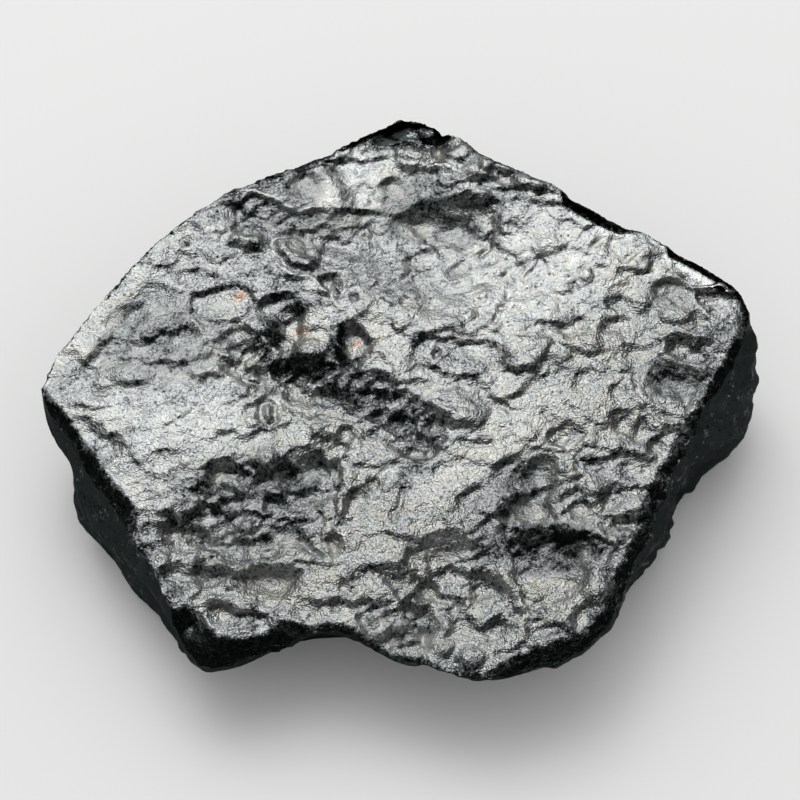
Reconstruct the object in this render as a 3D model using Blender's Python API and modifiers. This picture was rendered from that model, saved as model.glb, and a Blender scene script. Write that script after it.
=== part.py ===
"""Meteorite: one broken slab of stone under a fused black crust, lying on its flat underside.

The stone is a coarse cage, lofted ring by ring round one outline and smoothed by subdivision.
Thumb-shaped hollows (regmaglypts), swells and wall dents are then pressed into the smooth skin.
X runs left to right, Y towards the thick end, Z up. The origin is under the middle, on the ground.
Lengths are in millimetres until the last step, which turns them into metres.
"""

import math

import bmesh
import bpy
from mathutils import Vector

STONE = "meteorite"
METRES_PER_MM = 0.001

# The upper face is nearly flat: its height at the origin, and its rise per mm along X and along Y.
FACE_HEIGHT = 20.1
FACE_RISE_X = 0.02
FACE_RISE_Y = 0.17

# The crest round the upper face, clockwise from the left corner: x, y, and how far the wall's
# belly stands outside the crest there (below zero where the wall leans in under the face).
CREST = (
    (-48.8, -0.8, -2.6),
    (-44.0, 5.9, 0.5),
    (-38.8, 14.2, 0.8),
    (-31.2, 23.0, 1.5),
    (-22.2, 28.8, 2.0),
    (-12.6, 32.6, 2.0),
    (-4.8, 37.5, 1.0),
    (0.9, 39.3, 0.5),
    (8.6, 33.3, 1.0),
    (17.4, 28.9, 1.5),
    (27.8, 22.1, 2.0),
    (35.8, 17.1, 3.0),
    (43.1, 12.6, 3.2),
    (43.8, 7.0, 5.0),
    (38.7, -1.0, 5.6),
    (34.2, -9.0, -1.8),
    (30.8, -16.6, 2.4),
    (26.8, -25.6, -0.6),
    (23.4, -35.2, -4.5),
    (15.6, -37.8, -7.5),
    (7.6, -40.6, -8.0),
    (3.2, -37.4, -8.0),
    (-2.2, -37.7, -8.0),
    (-9.8, -31.7, -8.0),
    (-18.4, -36.2, -8.0),
    (-26.4, -38.2, -5.0),
    (-30.2, -28.6, 0.4),
    (-33.6, -19.8, 1.8),
    (-39.0, -13.2, 6.8),
    (-43.2, -7.4, -0.6),
)

# Rings of the wall: share of the height up to the crest, how they stand out, as a share of the
# belly's own step and as a step of their own, and how often the outline is evened out.
WALL_RINGS = (
    (0.00, 1.0, -3.6, 2),
    (0.07, 1.0, -0.8, 2),
    (0.24, 1.0, 0.4, 1),
    (0.52, 0.7, 0.4, 0),
    (0.80, 0.3, 0.9, 0),
)
FOOT_INNER_SHARE = 0.78
FACE_SHARES = (0.93, 0.74)
FACE_MIDDLE = Vector((-1.5, 0.0))
# The crest points that are the four corners of the grid in the middle of the upper face.
GRID_CORNERS = (3, 11, 18, 26)
CREST_CREASE = 0.6
SUBDIVISIONS = 2

# Hollows (depth above zero) and swells (below zero) of the upper face:
# x, y, half-length, half-width, turn in degrees, depth.
FACE_RELIEF = (
    (7.0, 16.0, 25.0, 15.0, -14.0, 2.8),
    (-17.0, 21.5, 12.0, 6.5, -8.0, 1.6),
    (-2.0, -10.5, 20.0, 8.0, -24.0, 2.4),
    (16.5, -26.5, 10.5, 7.5, 0.0, 2.6),
    (17.5, -13.0, 8.5, 5.5, 5.0, 1.4),
    (34.0, -1.0, 6.5, 5.5, 40.0, 2.0),
    (33.5, 11.0, 6.5, 5.0, -20.0, 1.2),
    (-15.5, -26.0, 12.0, 6.5, 6.0, 2.0),
    (-24.0, -14.0, 7.0, 4.5, -20.0, 1.5),
    (0.0, 33.5, 11.0, 3.4, -8.0, 1.0),
    (-24.5, 10.5, 4.5, 3.5, 8.0, 0.9),
    (-14.0, 6.5, 5.5, 5.0, 0.0, -1.2),
    (-4.5, 4.5, 6.5, 5.5, -20.0, -1.3),
    (-33.0, -7.0, 11.0, 8.5, -30.0, -0.9),
    (2.5, -19.0, 9.5, 5.0, 35.0, -1.0),
    (2.5, -29.0, 4.0, 3.6, 0.0, -1.1),
)
FACE_RELIEF_MARGIN = 4.5
FACE_SKIN_DEPTH = 3.0

# Dents in the walls: place of the middle of each, its radius and its depth.
WALL_DENTS = (
    ((-47.0, -4.0, 9.0), 5.5, 1.6),
    ((-41.0, -18.5, 5.0), 7.0, 1.5),
    ((-35.0, -25.0, 6.0), 7.0, 1.4),
    ((-46.0, 8.0, 9.0), 8.0, 1.2),
    ((-34.0, 22.0, 10.0), 9.0, 1.6),
    ((-19.0, 33.0, 14.0), 9.0, 1.5),
    ((-6.0, 39.0, 9.0), 8.0, 1.3),
    ((12.0, 34.0, 14.0), 9.0, 1.7),
    ((26.0, 26.0, 9.0), 9.0, 1.5),
    ((39.0, 18.0, 14.0), 8.0, 1.2),
    ((44.0, 3.0, 14.0), 7.0, 1.2),
    ((38.5, -7.0, 5.0), 8.0, 2.0),
    ((30.0, -23.0, 8.0), 7.0, 1.1),
    ((12.0, -35.0, 7.0), 8.0, 1.2),
    ((-9.0, -31.0, 7.0), 8.0, 1.2),
    ((-23.0, -33.0, 6.0), 7.0, 1.0),
)

CRUST_COLOUR = (0.022, 0.025, 0.025, 1.0)
CRUST_ROUGHNESS = 0.28


def clear_scene():
    """Removes every object of the startup scene."""
    for scene_object in list(bpy.data.objects):
        bpy.data.objects.remove(scene_object, do_unlink=True)


def face_height(x, y):
    """Height of the upper face's mean plane."""
    return FACE_HEIGHT + FACE_RISE_X * x + FACE_RISE_Y * y


def crest_points():
    """The crest as plan points."""
    return [Vector((x, y)) for x, y, _ in CREST]


def outward_directions(points):
    """Unit vectors in plan that point out of a clockwise outline, one for each of its points."""
    count = len(points)
    found = []
    for i in range(count):
        along = points[(i + 1) % count] - points[i - 1]
        found.append(Vector((-along.y, along.x)).normalized())
    return found


def evened(ring):
    """A ring whose points move half-way towards the middle of their neighbours, in plan."""
    count = len(ring)
    moved = []
    for i, point in enumerate(ring):
        neighbours = (ring[i - 1] + ring[(i + 1) % count]) / 2.0
        between = (point + neighbours) / 2.0
        moved.append(Vector((between.x, between.y, point.z)))
    return moved


def wall_ring(height_share, belly_share, own_step, evenings):
    """Points of one ring of the wall at a share of the height up to the crest."""
    points = crest_points()
    ring = []
    for point, outward, (_, _, belly) in zip(points, outward_directions(points), CREST):
        place = point + outward * (belly * belly_share + own_step)
        ring.append(Vector((place.x, place.y, face_height(point.x, point.y) * height_share)))
    for _ in range(evenings):
        ring = evened(ring)
    return ring


def face_ring(share):
    """Points of the upper face, on the crest at share 1 and drawn in to its middle below that."""
    ring = []
    for point in crest_points():
        place = FACE_MIDDLE + (point - FACE_MIDDLE) * share
        ring.append(Vector((place.x, place.y, face_height(place.x, place.y))))
    return ring


def cage_rings():
    """All rings, from the inside of the underside up round the wall and in over the upper face."""
    walls = [wall_ring(*ring) for ring in WALL_RINGS]
    middle = FACE_MIDDLE.to_3d()
    inner_foot = [middle + (point - middle) * FOOT_INNER_SHARE for point in walls[0]]
    return [inner_foot, *walls, face_ring(1.0)] + [face_ring(share) for share in FACE_SHARES]


def loft(rings):
    """A bmesh through the rings and its rows of vertices, with a flat cap under the first ring."""
    cage = bmesh.new()
    rows = [[cage.verts.new(point) for point in ring] for ring in rings]
    count = len(rows[0])
    for lower, upper in zip(rows, rows[1:]):
        for i in range(count):
            after = (i + 1) % count
            cage.faces.new((lower[i], lower[after], upper[after], upper[i]))
    cage.faces.new(rows[0])
    return cage, rows


def sides_of(loop):
    """The four sides of a closed loop, cut at the grid's corners, with both end points on each."""
    count = len(loop)
    ends = GRID_CORNERS[1:] + (GRID_CORNERS[0] + count,)
    return [[loop[i % count] for i in range(a, b + 1)] for a, b in zip(GRID_CORNERS, ends)]


def blended(back, front, left, right, u, v):
    """The point of a surface stretched between four sides, u along them and v across."""
    columns = len(back) - 1
    rows = len(left) - 1
    across = back[u].co.lerp(front[u].co, v / rows)
    along = left[v].co.lerp(right[v].co, u / columns)
    back_line = back[0].co.lerp(back[-1].co, u / columns)
    front_line = front[0].co.lerp(front[-1].co, u / columns)
    return across + along - back_line.lerp(front_line, v / rows)


def fill_face(cage, loop):
    """Fills the innermost ring of the upper face with a grid of four-sided faces."""
    back, right, front, left = sides_of(loop)
    front.reverse()
    left.reverse()
    grid = [back]
    for v in range(1, len(left) - 1):
        inner = [cage.verts.new(blended(back, front, left, right, u, v)) for u in range(1, len(back) - 1)]
        grid.append([left[v], *inner, right[v]])
    grid.append(front)
    for upper, lower in zip(grid, grid[1:]):
        for u in range(len(back) - 1):
            cage.faces.new((upper[u], upper[u + 1], lower[u + 1], lower[u]))


def crease_crest(cage, crest):
    """Keeps the crest between wall and upper face from being rounded right off."""
    crease = cage.edges.layers.float.new("crease_edge")
    for before, vertex in zip(crest[-1:] + crest, crest):
        cage.edges.get((before, vertex))[crease] = CREST_CREASE


def cage_mesh():
    """The coarse cage of the stone as a mesh."""
    cage, rows = loft(cage_rings())
    fill_face(cage, rows[-1])
    crease_crest(cage, rows[len(WALL_RINGS) + 1])
    bmesh.ops.recalc_face_normals(cage, faces=cage.faces)
    mesh = bpy.data.meshes.new("cage")
    cage.to_mesh(mesh)
    cage.free()
    return mesh


def smooth_skin():
    """The cage smoothed by subdivision, as a mesh of its own."""
    holder = bpy.data.objects.new("cage", cage_mesh())
    bpy.context.scene.collection.objects.link(holder)
    subdivision = holder.modifiers.new("smooth", "SUBSURF")
    subdivision.levels = SUBDIVISIONS
    subdivision.render_levels = SUBDIVISIONS
    graph = bpy.context.evaluated_depsgraph_get()
    skin = bpy.data.meshes.new_from_object(holder.evaluated_get(graph))
    bpy.data.objects.remove(holder, do_unlink=True)
    return skin


def distance_inside(point, outline):
    """How far a plan point is inside the outline, and zero outside it."""
    inside = False
    nearest = math.inf
    for start, end in zip(outline, outline[1:] + outline[:1]):
        if (start.y > point.y) != (end.y > point.y):
            crossing = start.x + (end.x - start.x) * (point.y - start.y) / (end.y - start.y)
            inside = inside != (point.x < crossing)
        edge = end - start
        along = max(0.0, min(1.0, (point - start).dot(edge) / edge.length_squared))
        nearest = min(nearest, (point - start - edge * along).length)
    return nearest if inside else 0.0


def eased(share):
    """A share from 0 to 1, eased at both ends."""
    share = max(0.0, min(1.0, share))
    return share * share * (3.0 - 2.0 * share)


def face_relief(x, y):
    """How far the relief lowers the upper face at a plan point."""
    depth = 0.0
    for middle_x, middle_y, half_length, half_width, turn, deepest in FACE_RELIEF:
        cosine = math.cos(math.radians(turn))
        sine = math.sin(math.radians(turn))
        along = ((x - middle_x) * cosine + (y - middle_y) * sine) / half_length
        across = ((y - middle_y) * cosine - (x - middle_x) * sine) / half_width
        reach = along * along + across * across
        if reach < 1.0:
            depth += deepest * (1.0 - reach) ** 2
    return depth


def press_face(skin):
    """Presses the hollows and swells into the upper face, fading out towards its crest."""
    outline = crest_points()
    for vertex in skin.vertices:
        x, y, z = vertex.co
        if z < face_height(x, y) - FACE_SKIN_DEPTH:
            continue
        inside = distance_inside(Vector((x, y)), outline)
        vertex.co.z -= face_relief(x, y) * eased(inside / FACE_RELIEF_MARGIN)


def press_walls(skin):
    """Presses the dents into the walls."""
    pressed = []
    for vertex in skin.vertices:
        depth = 0.0
        for middle, radius, deepest in WALL_DENTS:
            reach = (vertex.co - Vector(middle)).length / radius
            depth += deepest * eased(1.0 - reach)
        pressed.append(vertex.co - vertex.normal * depth)
    for vertex, place in zip(skin.vertices, pressed):
        if vertex.co.z > 0.01:
            vertex.co = place


def crust_material():
    """The fused crust: near-black and glossy."""
    material = bpy.data.materials.new("fusion_crust")
    material.use_nodes = True
    shader = material.node_tree.nodes["Principled BSDF"]
    shader.inputs["Base Color"].default_value = CRUST_COLOUR
    shader.inputs["Roughness"].default_value = CRUST_ROUGHNESS
    shader.inputs["Metallic"].default_value = 0.0
    return material


def build():
    """Makes the stone, in metres, in a collection of its own."""
    clear_scene()
    skin = smooth_skin()
    press_face(skin)
    press_walls(skin)
    for vertex in skin.vertices:
        vertex.co *= METRES_PER_MM
    skin.name = STONE
    skin.shade_smooth()
    skin.materials.append(crust_material())
    group = bpy.data.collections.new(STONE)
    bpy.context.scene.collection.children.link(group)
    group.objects.link(bpy.data.objects.new(STONE, skin))


build()
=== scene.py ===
"""A stony meteorite with a black fusion crust, lying on its flat underside.

The upper face is modelled in relief: a broad bowl, thumbprint hollows, lobes, scarps, folds, thin
ridges, burst bubbles and fine flakes, under a bright film. The walls are black, with flow streaks.
Lengths are in millimetres and angles in degrees, except where a comment says metres. A turn is
anticlockwise from the x axis, seen from above.
"""

import math

import bmesh
import bpy
import numpy as np
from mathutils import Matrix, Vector

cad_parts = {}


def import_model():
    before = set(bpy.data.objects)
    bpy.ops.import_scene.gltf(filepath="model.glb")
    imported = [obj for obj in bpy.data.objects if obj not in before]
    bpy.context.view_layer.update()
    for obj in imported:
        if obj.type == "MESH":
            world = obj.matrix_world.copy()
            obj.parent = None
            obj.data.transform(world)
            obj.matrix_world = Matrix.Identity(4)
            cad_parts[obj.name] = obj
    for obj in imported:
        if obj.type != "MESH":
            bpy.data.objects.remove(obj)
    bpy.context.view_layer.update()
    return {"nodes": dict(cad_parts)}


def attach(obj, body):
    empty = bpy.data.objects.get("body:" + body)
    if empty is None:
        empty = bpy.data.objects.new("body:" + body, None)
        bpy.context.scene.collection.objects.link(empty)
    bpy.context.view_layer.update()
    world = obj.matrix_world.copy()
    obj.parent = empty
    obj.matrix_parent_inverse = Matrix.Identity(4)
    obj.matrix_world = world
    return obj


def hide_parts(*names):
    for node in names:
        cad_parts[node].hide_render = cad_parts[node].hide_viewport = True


MM = 0.001

# The mesh's grain, the bearings at which the rim is measured, and the pieces between a line's points
VOXEL = 0.62
RIM_STEPS = 720
CURVE_STEPS = 6

# How far below the face's plane the rim and the lowest hollow may be, and how far down walls follow the rim
EDGE_BELOW = 1.3
FACE_BELOW = 6.0
WALL_FOLLOWS = 9.0

# How far in from the rim the broad forms and the detail reach their full height
FORM_BLEND = 9.0
DETAIL_BLEND = 0.8

# The band beside the rim that is evened out: how far in and how far below the face's plane it goes
BAND_INSIDE = 0.6
BAND_BELOW = 4.0

# The noise tables repeat after this many cells, and the walls' noise runs this far with each degree
CELLS = 64
MM_PER_DEGREE = 0.7

# The upper face's plane: height at the origin, rise along x, rise along y
FACE_HEIGHT = 20.1
FACE_RISE_X = 0.02
FACE_RISE_Y = 0.17

# Camera and light: the light leans this far towards +X and towards +Y from straight above
CAMERA_AIM = (-1.5, 2.5, 12.0)
CAMERA_RISE = 55.0
CAMERA_DISTANCE = 290.0
CAMERA_LENS = 100.0
CAMERA_SENSOR = 36.0
LIGHT_ACROSS = -8.5
LIGHT_AHEAD = 27.0
LIGHT_COLOUR = (1.0, 1.0, 0.985)
WORLD_STRENGTH = 0.64
FLOOR_SHADE = 0.8

# In metres
LIGHT_DISTANCE = 0.9
LIGHT_AIM = (0.0, 0.0, 0.02)
FLOOR_SIZE = 6.0

# One soft light that fades towards its edges: name, size in metres, radiance
SOFTBOXES = (
    ("softbox_core", 0.4, 2.0),
    ("softbox_middle", 0.72, 1.1),
    ("softbox_edge", 1.05, 0.65),
)

# Where the rim rolls over more than is common: bearing of the middle, half-span, width, drop
COMMON_ROLL = (0.6, 0.15)
ROLLS = (
    (112, 5, 2, 0.9),
    (68, 9, 1.2, 0.5),
    (44, 8, 2.6, 1.1),
    (22.5, 6, 2.2, 0.9),
    (-3, 20, 2, 1),
    (-36, 16, 2.4, 1.3),
    (-56, 8, 2.4, 1.2),
    (-122, 11, 3.6, 2),
    (-94, 18, 1.2, 0.6),
    (-66, 9, 2.2, 1.1),
    (196, 13, 2.2, 1.4),
)

# Broad forms: x, y, half-length, half-width, turn, depth (a swell is below zero)
BROAD = (
    (3, 19.5, 23, 12, -14, 2),
    (-15, 21, 12, 5, -6, 0.5),
    (-31, -8, 15, 9, -35, -0.4),
    (1, -20.5, 14, 5.5, 40, -0.6),
)

# The skin's relief, then the walls': how high and how far across each kind is
SWELL_HEIGHT = 0.15
SWELL_CELL = 4.5
FLAKE_HEIGHT = 0.32
FLAKE_CELL = 3.6
SMALL_FLAKE_HEIGHT = 0.14
SMALL_FLAKE_CELL = 1.7
SCALLOP_HEIGHT = 0.06
SCALLOP_CELL = 0.8
STREAK_HEIGHT = 0.46
STREAK_CELL = 2.6
DENT_HEIGHT = 0.9
DENT_CELL = 6.5

# The small flakes are this many times longer than wide, and turned
FLAKE_STRETCH = 1.7
FLAKE_TURN = 38.0

# How far, and at what grain, the outlines of the placed forms are disturbed
WARP = 0.32
WARP_CELL = 3.0

# How rough the skin is, commonly and in each zone: x, y, half-length, half-width, turn, level
COMMON_ROUGHNESS = 0.9
ROUGHNESS_ZONES = (
    (-39.6, 9.6, 12, 2.4, 55, 0), (-2, 37.6, 8, 2.4, 4, 0.1), (24, 23.6, 5.5, 1.5, -33, 0),
    (37.5, 15, 6, 1.4, -37, 0), (16.6, -25, 6, 4.6, 0, 0.3), (-19, -27.8, 6.5, 1.6, 0, 0.3),
    (33.4, -0.6, 4.6, 3, 0, 0.25), (-34, -6, 17, 11, -40, 0.4), (-37, 14, 13, 5, 55, 0.35),
    (-32, 5, 8, 7, 0, 1.1), (-8.5, 29.5, 4, 5, 0, 0.5), (15, 16, 16, 9, -20, 0.7),
    (17, -4, 12, 4, 15, 0.35), (-22, 3, 4, 6, 0, 1.3), (-7, -1, 14, 3.4, -36, 1.9),
    (-16, -20, 20, 11, -10, 1.6), (-1, -17.5, 13, 3.8, 38, 0.05), (-13, -28, 6, 1.8, 0, 0.3),
    (14, -25, 16, 12, 20, 1.5),
)

# How gritty the crust is, where 1 is common, and how much duller than is common, on the walls and in zones
WALL_GRIT = 0.8
WALL_DULLNESS = 0.06
GRIT_ZONES = (
    (-2, 37.6, 8, 2.4, 4, 0.1), (24, 23.6, 5.5, 1.5, -33, 0.1), (37.5, 15, 6, 1.4, -37, 0.1),
    (-34, -6, 17, 11, -40, 0.75), (-8.5, 29.5, 5, 5, 0, 0.5), (15, 16, 16, 9, -20, 0.6),
    (-7, -2, 13, 4, -36, 1.5), (-16, -20, 20, 11, -10, 1.5), (14, -26, 16, 12, 20, 1.5),
    (28, 0, 9, 14, 0, 1.35),
)
DULL_ZONES = (
    (-2, 37.6, 8, 2.4, 4, -0.3), (24, 23.6, 5.5, 1.5, -33, -0.3), (37.5, 15, 6, 1.4, -37, -0.3),
    (-20, -13.5, 9, 3.5, 5, 0.12), (-20, -20.2, 6.5, 1.6, 0, 0.12), (-19, -25.2, 7.5, 1.2, 0, 0.12),
    (16.5, -22.6, 7, 3, -6, 0.2), (4, -22.3, 5, 1.6, 5, 0.12), (14, -14, 4.5, 4, 0, 0.12),
    (-1, -33.5, 6, 3, 0, 0.15), (33.6, 0.2, 3.8, 2.4, -8, 0.2), (-15, 23.4, 9, 1.6, 0, 0.15),
    (0.5, 26, 4.5, 4.5, 0, 0.2), (6, 22.5, 4, 1.8, 0, 0.15), (-35, 9.4, 3.6, 2, 0, 0.15),
    (-14, 28.4, 2.6, 2.4, 0, 0.2), (33.4, 11.6, 2.4, 2, 0, 0.15), (-32, 5.5, 8, 6, 0, 0.16),
    (-43, 0, 3.5, 3, 0, 0.05), (0, 15, 8, 5, 0, 0.05),
)

# Zones where the bright film is thinner, below zero, or thicker than elsewhere: partly its own patchiness,
# partly painted light
FILM_AND_PAINTED_LIGHT_ZONES = (
    # thinner, partly painted shade
    (-2, 37.6, 8, 3, 4, -3.6), (-24, -35.4, 6, 2.4, 0, -1.2), (19, -34.6, 6, 2.2, 15, -1),
    (-7, -1.2, 13, 2.8, -36, -1.5), (-16.6, 14.6, 3.4, 2.2, -50, -1.6), (-17.2, 10.8, 2.4, 2, 0, -2.2),
    (-18.4, 6.6, 1.5, 3, 0, -2.2), (-13.6, 2, 4.4, 1.3, -10, -2.4), (-9.7, 5.4, 1.3, 3.6, 0, -3),
    (-13.6, 11, 3, 1.1, 0, -1.4), (-21, 27.2, 8, 3, 20, -1.6), (-20, 24, 6, 2, 0, -1),
    (3, 23, 8, 3.4, 0, -0.7), (3, 28, 3, 2.6, 0, -1.3), (12.4, 26.6, 2.4, 1.8, -20, -1.5),
    (-4, 17, 9, 5, 0, -0.8), (-32, 7, 8, 5, 0, -1.1), (-25, 15, 8, 5, 0, -0.9),
    (-38.4, 14.4, 2.4, 1.6, 50, -2.2), (-43, 0, 3, 3, 0, -1.3), (-29, -1.6, 9, 2.2, 0, -0.8),
    (-38.8, -9, 1.6, 1.8, 0, -1.8), (34, 0.4, 4, 2.8, -8, -1.2), (39, 2.5, 3, 5, 0, -1.8),
    (3, 3, 5, 2.6, -20, -0.8), (-20, -14, 9, 3.2, 5, -1.3), (-17, -18.4, 6, 2, 0, -1.2),
    (-33, -21, 1.6, 2.4, 30, -1.8), (-29.6, -27.2, 2.4, 1.8, 0, -1.8), (-20, -31.8, 4, 1.5, 0, -1.6),
    (-3, -36.2, 4, 1.4, 0, -1.4), (0.6, -13, 2.8, 2.2, 40, -2), (12, -14.2, 4.4, 3.6, 10, -1.5),
    (16, -22.4, 7, 2.8, -6, -2.4), (24, -25, 4, 2, 0, -1.2), (24.5, -12.4, 3, 1.5, -20, -1.2),
    (-28, -16, 3, 2, 20, -1), (-35, -6, 10, 5, -40, -0.4),
    # thicker, partly painted highlight
    (-39.6, 9.6, 12, 2.4, 55, 0.3), (9, -10.5, 16, 3, 32, 0.7), (-12, -27.6, 5, 1.8, 0, 0.9),
    (17, -27.6, 4.6, 2, 0, 1), (23, 4, 4, 3, 0, 0.8), (28, 16, 3, 3, 0, 0.7), (25, -6, 2.4, 3, 0, 0.9),
    (-4.8, 7.4, 2.8, 2.8, 0, 0.6), (-13.4, 6.8, 2.8, 2.6, 0, 1), (-1, -21.6, 4, 1.8, 20, 0.9),
    (-9.4, -19.6, 2, 3, 0, 0.8), (-26.4, 5, 2.6, 2, 0, 0.4),
)

# How much a unit of film counts, how much it thins, as painted shade, where the rim rolls over and on
# slopes that face the front, and the walls' level and how far it varies
FILM_SHARE = 0.14
PAINTED_ROLL_SHADE = 4.0
PAINTED_FRONT_SHADE = 1.25
WALL_FILM = -4.0
WALL_FILM_SPREAD = 0.5

# The crust's reflectance where the film is this thick, from almost bare black crust to cream film, and that
# of the painted highlights along the thin ridges and of the painted orange glints, which a noise varies
FILMS = (
    (0.04, (0.034, 0.041, 0.040)),
    (0.34, (0.68, 0.71, 0.725)),
    (0.44, (0.76, 0.785, 0.785)),
    (0.50, (0.75, 0.765, 0.725)),
    (0.60, (0.81, 0.80, 0.735)),
)
RIDGE_HIGHLIGHTS = (
    (0.40, (0.80, 0.83, 0.83)),
    (0.60, (0.90, 0.92, 0.91)),
)
ORANGE_GLINTS = (
    (0.40, (0.80, 0.42, 0.25)),
    (0.60, (0.85, 0.56, 0.38)),
)

# How bright the crust stays when it is seen edge-on, the range of its roughness, and how deep its grain is
EDGE_ON = 0.4
ROUGHNESS_RANGE = (0.3, 0.48)
GRAIN_DEPTH = 0.13

# Which way the deepest or highest place of a form is off its middle, and how far, where 1 is the outline
HOLLOW_LEAN = (115, 0.5)
LOBE_LEAN = (-80, 0.55)

# How much of the hollows' depth and the lobes' height is used
FORM_SHARE = 0.85

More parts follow.
